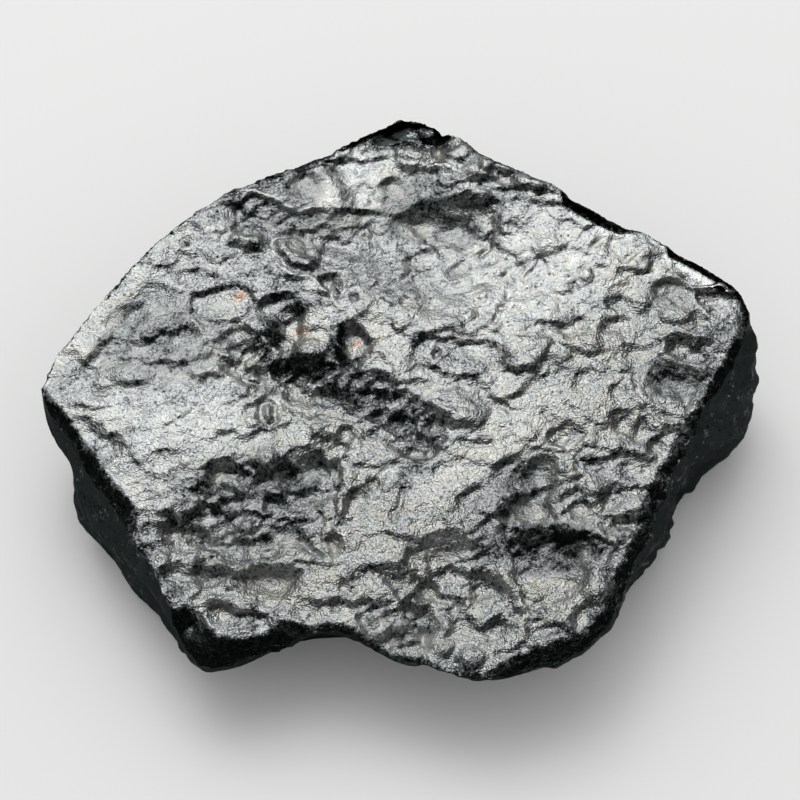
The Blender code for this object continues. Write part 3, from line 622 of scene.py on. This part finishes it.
def warped(x, y):
    """The place with its outline disturbed, so that no listed form is a clean ellipse or line."""
    xs = x + WARP * rough(x, y, WARP_CELL, 11, 4, 0.7)
    ys = y + WARP * rough(x, y, WARP_CELL, 23, 4, 0.7)
    return xs, ys


def broad_forms(x, y):
    """The slow swells and the main bowl, in mm."""
    h = np.zeros(np.shape(x))
    for cx, cy, length, width, turn, deep in BROAD:
        a, b = local(x, y, cx, cy, length, width, turn)
        h -= deep * np.clip(1 - a * a - b * b, 0, 1) ** 2
    return h


def placed_forms(xs, ys):
    """The forms placed one by one, in mm, where they make the skin rugged, and where they calm it."""
    lobes, hollows = leaning(xs, ys, LOBES, *LOBE_LEAN), leaning(xs, ys, HOLLOWS, *HOLLOW_LEAN)
    h = FORM_SHARE * (lobes - hollows)
    clear = np.minimum(1.6 * (lobes + hollows), 1.0)
    rugged = np.zeros(np.shape(xs))
    for points, drop, width, reach in SCARPS:
        near, gone, steep = slope_beside(xs, ys, points, -1.0, width, reach)
        h[near] -= drop * gone
        rugged[near] = np.maximum(rugged[near], min(drop / 1.8, 1.0) * steep)
    for points, height, width, reach in FOLDS:
        near, gone, _ = slope_beside(xs, ys, points, 1.0, width, reach)
        h[near] += height * gone
    for points, height, width in RIDGES:
        ridge(h, xs, ys, points, height, width)
    for cx, cy, across, along, height, width, dome in RINGS:
        d = np.hypot((xs - cx) / across, (ys - cy) / along)
        h += height * np.exp(-(((d - 1.0) / width) ** 2)) + dome * np.clip(1 - d**2, 0, 1)
        clear = np.maximum(clear, np.clip(2.0 - d, 0.0, 1.0))
    return h, rugged, clear


def skin(x, y, xs, ys, rugged, clear):
    """The roughness all over, in mm: swells, overlapping flakes, small flakes on a slant, and scallops."""
    level = zone_level(x, y, ROUGHNESS_ZONES, COMMON_ROUGHNESS) * (1.0 + 2.2 * rugged) * (1.0 - 0.6 * clear)
    along, across = local(xs, ys, 0.0, 0.0, FLAKE_STRETCH, 1.0, FLAKE_TURN)
    h = SWELL_HEIGHT * rough(xs, ys, SWELL_CELL, 31, 4, 0.6)
    h += FLAKE_HEIGHT * flakes(xs, ys, FLAKE_CELL, 5)
    h += SMALL_FLAKE_HEIGHT * flakes(along, across, SMALL_FLAKE_CELL, 6)
    h += SCALLOP_HEIGHT * (scallops(xs, ys - 0.2 * xs, SCALLOP_CELL, 7) - 0.4)
    return level * h


def face_plane(x, y):
    """The height of the plane that the upper face lies on."""
    return FACE_HEIGHT + FACE_RISE_X * x + FACE_RISE_Y * y


def coordinates(mesh):
    """The mesh's points, in mm."""
    co = np.empty(len(mesh.vertices) * 3)
    mesh.vertices.foreach_get("co", co)
    return co.reshape(-1, 3) / MM


def normals(mesh):
    found = np.empty(len(mesh.vertices) * 3)
    mesh.vertices.foreach_get("normal", found)
    return found.reshape(-1, 3)


def set_coordinates(mesh, co):
    mesh.vertices.foreach_set("co", (co * MM).ravel())
    mesh.update()


def bearings(x, y):
    """The bearing of each place from the origin, from 0 to 360."""
    return np.degrees(np.arctan2(y, x)) % 360.0


def rim_outline(co):
    """The upper face's rim in plan: how far out the stone reaches on each bearing at the face's height."""
    near = np.abs(co[:, 2] - face_plane(co[:, 0], co[:, 1])) < EDGE_BELOW
    index = (bearings(co[near, 0], co[near, 1]) * RIM_STEPS / 360.0).astype(int) % RIM_STEPS
    rim = np.zeros(RIM_STEPS)
    np.maximum.at(rim, index, np.hypot(co[near, 0], co[near, 1]))
    highest = np.maximum.reduce([np.roll(rim, k) for k in (-1, 0, 1)])
    return np.mean([np.roll(highest, k) for k in (-1, 0, 1)], axis=0)


def inside_rim(x, y, rim):
    """How far inside the rim a place is, in mm."""
    turn = bearings(x, y) * RIM_STEPS / 360.0 - 0.5
    low = np.floor(turn).astype(int)
    part = turn - low
    edge = rim[low % RIM_STEPS] * (1 - part) + rim[(low + 1) % RIM_STEPS] * part
    return edge - np.hypot(x, y)


def rim_roll(x, y, inside):
    """How far the face drops as it rolls over at its rim, in mm."""
    turn = bearings(x, y)
    width, drop = COMMON_ROLL[0] * np.ones(np.shape(x)), COMMON_ROLL[1] * np.ones(np.shape(x))
    for middle, span, wide, deep in ROLLS:
        away = np.abs((turn - middle + 180.0) % 360.0 - 180.0)
        weight = eased((1.25 - away / span) / 0.5)
        width += weight * (wide - width)
        drop += weight * (deep - drop)
    return drop * np.clip(1.0 - inside / width, 0.0, 1.0)


def shape_face(co, rim, top):
    """Sets the height of the upper face's points."""
    x, y = co[top, 0], co[top, 1]
    xs, ys = warped(x, y)
    inside = inside_rim(x, y, rim)
    z = face_plane(x, y) + broad_forms(x, y) * eased(inside / FORM_BLEND)
    forms, rugged, clear = placed_forms(xs, ys)
    z += (forms + skin(x, y, xs, ys, rugged, clear)) * (0.5 + 0.5 * eased(inside / DETAIL_BLEND))
    co[top, 2] = z - rim_roll(x, y, inside)


def lower_walls(co, top):
    """Brings the walls down with the rim where it rolls over."""
    x, y, z = co[~top].T
    share = eased(1.0 - (face_plane(x, y) - z) / WALL_FOLLOWS)
    co[~top, 2] = z - share * rim_roll(x, y, 0.0)


def remeshed(node):
    """A copy of the CAD solid's surface as an even mesh."""
    obj = node.copy()
    obj.data = node.data.copy()
    obj.name = "meteorite_stone"
    obj.data.name = "meteorite_stone"
    bpy.context.scene.collection.objects.link(obj)
    modifier = obj.modifiers.new("even", "REMESH")
    modifier.mode = "VOXEL"
    modifier.voxel_size = VOXEL * MM
    modifier.use_smooth_shade = True
    bpy.context.view_layer.update()
    graph = bpy.context.evaluated_depsgraph_get()
    mesh = bpy.data.meshes.new_from_object(obj.evaluated_get(graph))
    obj.modifiers.clear()
    obj.data = mesh
    for key in list(obj.keys()):
        del obj[key]
    obj.parent = None
    return obj


def smooth_mesh(mesh, rounds, keep):
    """Evens out the facets, moving only the points that keep is False for."""
    edges = np.empty(len(mesh.edges) * 2, int)
    mesh.edges.foreach_get("vertices", edges)
    a, b = edges.reshape(-1, 2).T
    co = coordinates(mesh)
    count = np.bincount(a, minlength=len(co)) + np.bincount(b, minlength=len(co))
    for _ in range(rounds):
        for strength in (0.5, -0.53):
            total = np.stack(
                [np.bincount(a, co[b, k], len(co)) + np.bincount(b, co[a, k], len(co)) for k in range(3)], 1
            )
            moved = co + strength * (total / count[:, None] - co)
            co = np.where(keep[:, None], co, moved)
    set_coordinates(mesh, co)


def refine_face(obj, top):
    """Splits each face of the upper side into four."""
    bm = bmesh.new()
    bm.from_mesh(obj.data)
    bm.verts.ensure_lookup_table()
    faces = [f for f in bm.faces if all(top[v.index] for v in f.verts)]
    edges = list({e for f in faces for e in f.edges})
    bmesh.ops.subdivide_edges(bm, edges=edges, cuts=1, use_grid_fill=True)
    bm.to_mesh(obj.data)
    bm.free()


def top_points(mesh, rim):
    """The points of the upper face, out to where it turns down into the walls."""
    co = coordinates(mesh)
    below = face_plane(co[:, 0], co[:, 1]) - co[:, 2]
    middle = (inside_rim(co[:, 0], co[:, 1], rim) > 2.5) & (below < FACE_BELOW)
    return (below < EDGE_BELOW) | (middle & (normals(mesh)[:, 2] > 0.3))


def shape_walls(mesh):
    """Flow streaks and shallow dents on the walls, down to the underside, which stays flat."""
    co = coordinates(mesh)
    normal = normals(mesh)
    x, y, z = co.T
    around = MM_PER_DEGREE * np.degrees(np.arctan2(y, x))
    wall = eased((0.75 - np.abs(normal[:, 2])) / 0.35)
    streaks = STREAK_HEIGHT * rough(around + 0.6 * z, 0.22 * z, STREAK_CELL, 51, 4)
    dents = DENT_HEIGHT * scallops(around, z, DENT_CELL, 61) - 0.5
    co += normal * (wall * (streaks + dents) * eased(z / 2.0))[:, None]
    co[:, 2] = np.where(z < 0.02, z, np.maximum(co[:, 2], 0.0))
    set_coordinates(mesh, co)


def noise(nodes, links, where, cell, detail, roughness):
    """A noise texture whose humps are about one cell across, in mm."""
    node = nodes.new("ShaderNodeTexNoise")
    node.inputs["Scale"].default_value = 1.0 / (cell * MM)
    node.inputs["Detail"].default_value = detail
    node.inputs["Roughness"].default_value = roughness
    links.new(where, node.inputs["Vector"])
    return node.outputs["Fac"]


def remap(nodes, links, value, low, high, to_low, to_high):
    """A value taken from one range to another, and held within it."""
    node = nodes.new("ShaderNodeMapRange")
    links.new(value, node.inputs["Value"])
    for name, number in zip(("From Min", "From Max", "To Min", "To Max"), (low, high, to_low, to_high)):
        node.inputs[name].default_value = number
    return node.outputs["Result"]


def math_node(nodes, links, operation, first, second):
    """The result of an operation on two values, each a socket or a number."""
    node = nodes.new("ShaderNodeMath")
    node.operation = operation
    for socket, value in zip(node.inputs, (first, second)):
        if isinstance(value, float):
            socket.default_value = value
        else:
            links.new(value, socket)
    return node.outputs["Value"]


def bump(nodes, links, height, strength, distance):
    """A bumped normal: the height and the strength are sockets, and the distance is in mm."""
    node = nodes.new("ShaderNodeBump")
    node.inputs["Distance"].default_value = distance * MM
    links.new(strength, node.inputs["Strength"])
    links.new(height, node.inputs["Height"])
    return node.outputs["Normal"]


def attribute(nodes, name):
    """One of the numbers that add_skin_attributes gives each point."""
    node = nodes.new("ShaderNodeAttribute")
    node.attribute_name = name
    return node.outputs["Fac"]


def ramp(nodes, links, value, stops):
    """Colours along a value: each stop is a place and a colour."""
    node = nodes.new("ShaderNodeValToRGB")
    elements = node.color_ramp.elements
    while len(elements) < len(stops):
        elements.new(1.0)
    for element, (place, _) in zip(elements, stops):
        element.position = place
    for element, (_, colour) in zip(elements, stops):
        element.color = (*colour, 1.0)
    links.new(value, node.inputs["Fac"])
    return node.outputs["Color"]


def mixed(nodes, links, share, first, second):
    """The first colour, turning into the second as the share goes from 0 to 1."""
    node = nodes.new("ShaderNodeMix")
    node.data_type = "RGBA"
    links.new(share, node.inputs["Factor"])
    links.new(first, node.inputs["A"])
    links.new(second, node.inputs["B"])
    return node.outputs["Result"]


def film_and_painted_light(nodes, links, where):
    """The film attribute, which holds painted shade and painted highlight besides the film's own thickness,
    made cloudy and finely speckled.
    """
    clouds = noise(nodes, links, where, 1.8, 5.0, 0.65)
    film = math_node(nodes, links, "MULTIPLY", attribute(nodes, "film"), FILM_SHARE)
    speckle = remap(nodes, links, noise(nodes, links, where, 0.4, 3.0, 0.85), 0.34, 0.58, -0.32, 0.03)
    return math_node(nodes, links, "ADD", math_node(nodes, links, "ADD", clouds, film), speckle)


def crust_colour_with_painted_light(nodes, links, where, thickness_and_painted_light):
    """The film's colour, carrying its painted shade and highlight, with painted highlights along the thin
    ridges and a few painted orange glints.
    """
    film = ramp(nodes, links, thickness_and_painted_light, FILMS)
    patches = noise(nodes, links, where, 0.8, 2.0, 0.6)
    # Painted highlight: paler lines along the thin ridges' crests
    clean = mixed(nodes, links, attribute(nodes, "edge"), film, ramp(nodes, links, patches, RIDGE_HIGHLIGHTS))
    # Painted orange glints in a few small spots
    return mixed(nodes, links, attribute(nodes, "orange_glint"), clean, ramp(nodes, links, patches, ORANGE_GLINTS))


def pit_dots(nodes, links, where):
    """0.6 in small scattered pinholes, 0 elsewhere."""
    cells = nodes.new("ShaderNodeTexVoronoi")
    cells.inputs["Scale"].default_value = 1.0 / (0.9 * MM)
    links.new(where, cells.inputs["Vector"])
    split = nodes.new("ShaderNodeSeparateColor")
    links.new(cells.outputs["Color"], split.inputs["Color"])
    away = math_node(nodes, links, "DIVIDE", cells.outputs["Distance"], split.outputs["Green"])
    dot = remap(nodes, links, away, 0.34, 0.2, 0.0, 0.6)
    chosen = math_node(nodes, links, "GREATER_THAN", split.outputs["Red"], 0.6)
    return math_node(nodes, links, "MULTIPLY", dot, chosen)


def crust_material():
    """Black crust under a film with a metallic sheen, gritty, with duller patches and pinholes."""
    material = bpy.data.materials.new("fusion_crust")
    material.use_nodes = True
    nodes, links = material.node_tree.nodes, material.node_tree.links
    shader = nodes["Principled BSDF"]
    shader.inputs["Metallic"].default_value = 1.0
    shader.inputs["Specular Tint"].default_value = (EDGE_ON, EDGE_ON, EDGE_ON, 1.0)
    where = nodes.new("ShaderNodeTexCoord").outputs["Object"]
    thickness_and_painted_light = film_and_painted_light(nodes, links, where)
    # The base colour carries the painted shade and painted highlight laid into the film
    links.new(crust_colour_with_painted_light(nodes, links, where, thickness_and_painted_light), shader.inputs["Base Color"])
    coarse = noise(nodes, links, where, 0.55, 1.0, 0.5)
    fine = noise(nodes, links, where, 0.22, 1.0, 0.5)
    patches = noise(nodes, links, where, 0.9, 3.0, 0.7)
    common = remap(nodes, links, patches, 0.35, 0.65, *ROUGHNESS_RANGE)
    worn = math_node(nodes, links, "ADD", common, attribute(nodes, "dull"))
    pits = pit_dots(nodes, links, where)
    links.new(math_node(nodes, links, "ADD", worn, pits), shader.inputs["Roughness"])
    grain = math_node(nodes, links, "ADD", coarse, math_node(nodes, links, "MULTIPLY", fine, 0.7))
    links.new(bump(nodes, links, grain, attribute(nodes, "grit"), GRAIN_DEPTH), shader.inputs["Normal"])
    return material


def floor_material():
    material = bpy.data.materials.new("pale_floor")
    material.use_nodes = True
    shader = material.node_tree.nodes["Principled BSDF"]
    shader.inputs["Base Color"].default_value = (FLOOR_SHADE, FLOOR_SHADE, FLOOR_SHADE, 1.0)
    shader.inputs["Roughness"].default_value = 0.9
    shader.inputs["Specular IOR Level"].default_value = 0.1
    return material


def add_floor():
    bpy.ops.mesh.primitive_plane_add(size=FLOOR_SIZE)
    floor = bpy.context.object
    floor.name = "floor"
    floor.data.materials.append(floor_material())


def direction(across, ahead):
    """The direction that leans `ahead` degrees towards +Y and `across` degrees towards +X."""
    a, b = math.radians(ahead), math.radians(across)
    return Vector((math.sin(b), math.sin(a) * math.cos(b), math.cos(a) * math.cos(b)))


def add_softbox(name, size, radiance):
    """A square area light of that radiance that faces the stone."""
    light = bpy.data.lights.new(name, "AREA")
    light.shape = "SQUARE"
    light.size = size
    light.energy = radiance * math.pi * size * size
    light.color = LIGHT_COLOUR
    obj = bpy.data.objects.new(name, light)
    way = direction(LIGHT_ACROSS, LIGHT_AHEAD)
    obj.location = Vector(LIGHT_AIM) + way * LIGHT_DISTANCE
    obj.rotation_euler = way.to_track_quat("Z", "Y").to_euler()
    bpy.context.scene.collection.objects.link(obj)


def add_lights():
    """The softboxes, and a white world that lights the floor but isn't mirrored in the stone."""
    for name, size, radiance in SOFTBOXES:
        add_softbox(name, size, radiance)
    world = bpy.data.worlds.new("studio")
    world.use_nodes = True
    background = world.node_tree.nodes["Background"]
    background.inputs["Color"].default_value = (1.0, 1.0, 1.0, 1.0)
    background.inputs["Strength"].default_value = WORLD_STRENGTH
    bpy.context.scene.world = world
    world.cycles_visibility.glossy = False


def add_camera():
    """A long lens that looks down on the stone from the front."""
    data = bpy.data.cameras.new("camera")
    data.lens = CAMERA_LENS
    data.sensor_width = CAMERA_SENSOR
    data.clip_start = 0.01
    camera = bpy.data.objects.new("camera", data)
    rise = math.radians(CAMERA_RISE)
    back = Vector((0.0, -math.cos(rise), math.sin(rise)))
    camera.location = (Vector(CAMERA_AIM) + back * CAMERA_DISTANCE) * MM
    camera.rotation_euler = back.to_track_quat("Z", "Y").to_euler()
    bpy.context.scene.collection.objects.link(camera)
    bpy.context.scene.camera = camera


def set_attribute(mesh, name, values):
    """A number for each point that the material reads."""
    layer = mesh.attributes.new(name, "FLOAT", "POINT")
    layer.data.foreach_set("value", values.astype(np.float32))


def ridge_highlight_share(xs, ys):
    """1 along the crests of the thin ridges, falling to 0 beside them: where the painted highlight lies."""
    share = np.zeros(np.shape(xs))
    for points, height, width in RIDGES:
        if height > 0:
            near, away, place = along_line(xs, ys, points, 3.0 * width)
            ends = eased(place / 0.15) * eased((1 - place) / 0.15)
            share[near] = np.maximum(share[near], ends * np.exp(-((away / width) ** 2)))
    return share


def soften_rim(mesh, rim):
    """Evens out the band where the upper face turns down into the walls."""
    x, y, z = coordinates(mesh).T
    band = (inside_rim(x, y, rim) < BAND_INSIDE) & (np.abs(face_plane(x, y) - z) < BAND_BELOW)
    smooth_mesh(mesh, 8, ~band)


def orange_glint_share(xs, ys):
    """How much of each point a painted orange glint covers."""
    share = np.zeros(np.shape(xs))
    for cx, cy, length, width, turn in ORANGE_GLINT_SPOTS:
        a, b = local(xs, ys, cx, cy, length, width, turn)
        share = np.maximum(share, ORANGE_GLINT_STRENGTH * np.exp(-((a * a + b * b) ** 2)))
    return share


def painted_front_shade_share(mesh):
    """How steeply each point falls towards the front, from 0, no more than the face's plane, to 1: the
    share of painted shade on slopes that face the front.
    """
    normal = normals(mesh)
    fall = -normal[:, 1] / np.maximum(normal[:, 2], 0.2) - FACE_RISE_Y
    return eased((fall - 0.1) / 0.5)


def face_share(mesh, rim):
    """1 on the upper face, easing to 0 on the walls."""
    x, y, z = coordinates(mesh).T
    below = face_plane(x, y) - z
    share = 1.0 - eased((below - 0.8) / 1.6) * eased((1.5 - inside_rim(x, y, rim)) / 0.5)
    return share * (below < FACE_BELOW) * eased((normals(mesh)[:, 2] - 0.1) / 0.3)


def film_and_painted_light_levels(mesh, rim):
    """How thick the film is on the upper face: thicker where it is sunk, thinner as painted shade where it
    slopes down to the front and where the rim rolls over, with painted shade and highlight in the zones.
    """
    x, y, _ = coordinates(mesh).T
    sunk = np.minimum(leaning(*warped(x, y), HOLLOWS, *HOLLOW_LEAN), 1.0)
    rolled = np.minimum(rim_roll(x, y, inside_rim(x, y, rim) - 0.4), 0.8)
    # Painted shade: the film thins where the rim rolls over and on slopes that face the front
    return sunk + zone_level(x, y, FILM_AND_PAINTED_LIGHT_ZONES, 0.0) - PAINTED_ROLL_SHADE * rolled - PAINTED_FRONT_SHADE * painted_front_shade_share(mesh)


def add_skin_attributes(mesh, rim):
    """Each point's film, which holds painted shade and highlight, its grit and dullness, and how much of a
    painted ridge highlight or a painted orange glint it lies on.
    """
    x, y, z = coordinates(mesh).T
    xs, ys = warped(x, y)
    face = face_share(mesh, rim)
    walls = 1.0 - face
    wall_film = WALL_FILM + WALL_FILM_SPREAD * rough(x + z, y - z, 7.0, 71)
    # The film holds painted shade and painted highlight as well as its own thickness
    set_attribute(mesh, "film", face * film_and_painted_light_levels(mesh, rim) + walls * wall_film)
    # Painted highlight along the thin ridges' crests
    set_attribute(mesh, "edge", face * ridge_highlight_share(xs, ys))
    # Painted orange glints in a few small spots
    set_attribute(mesh, "orange_glint", face * orange_glint_share(xs, ys))
    set_attribute(mesh, "grit", face * zone_level(x, y, GRIT_ZONES, 1.0) + walls * WALL_GRIT)
    set_attribute(mesh, "dull", face * zone_level(x, y, DULL_ZONES, 0.0) + walls * WALL_DULLNESS)


def build_stone(node):
    """The CAD solid's surface, with the upper face and the walls in relief, and its material."""
    stone = remeshed(node)
    mesh = stone.data
    rim = rim_outline(coordinates(mesh))
    top = top_points(mesh, rim)
    smooth_mesh(mesh, 6, top)
    shape_walls(mesh)
    refine_face(stone, top)
    co = coordinates(mesh)
    top = top_points(mesh, rim)
    shape_face(co, rim, top)
    lower_walls(co, top)
    set_coordinates(mesh, co)
    soften_rim(mesh, rim)
    add_skin_attributes(mesh, rim)
    mesh.polygons.foreach_set("use_smooth", np.ones(len(mesh.polygons), bool))
    mesh.materials.clear()
    mesh.materials.append(crust_material())
    return stone


def main():
    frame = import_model()
    stone = build_stone(frame["nodes"]["meteorite"])
    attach(stone, "root")
    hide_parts("meteorite")
    add_floor()
    add_lights()
    add_camera()
    bpy.context.scene.view_settings.view_transform = "Standard"


main()
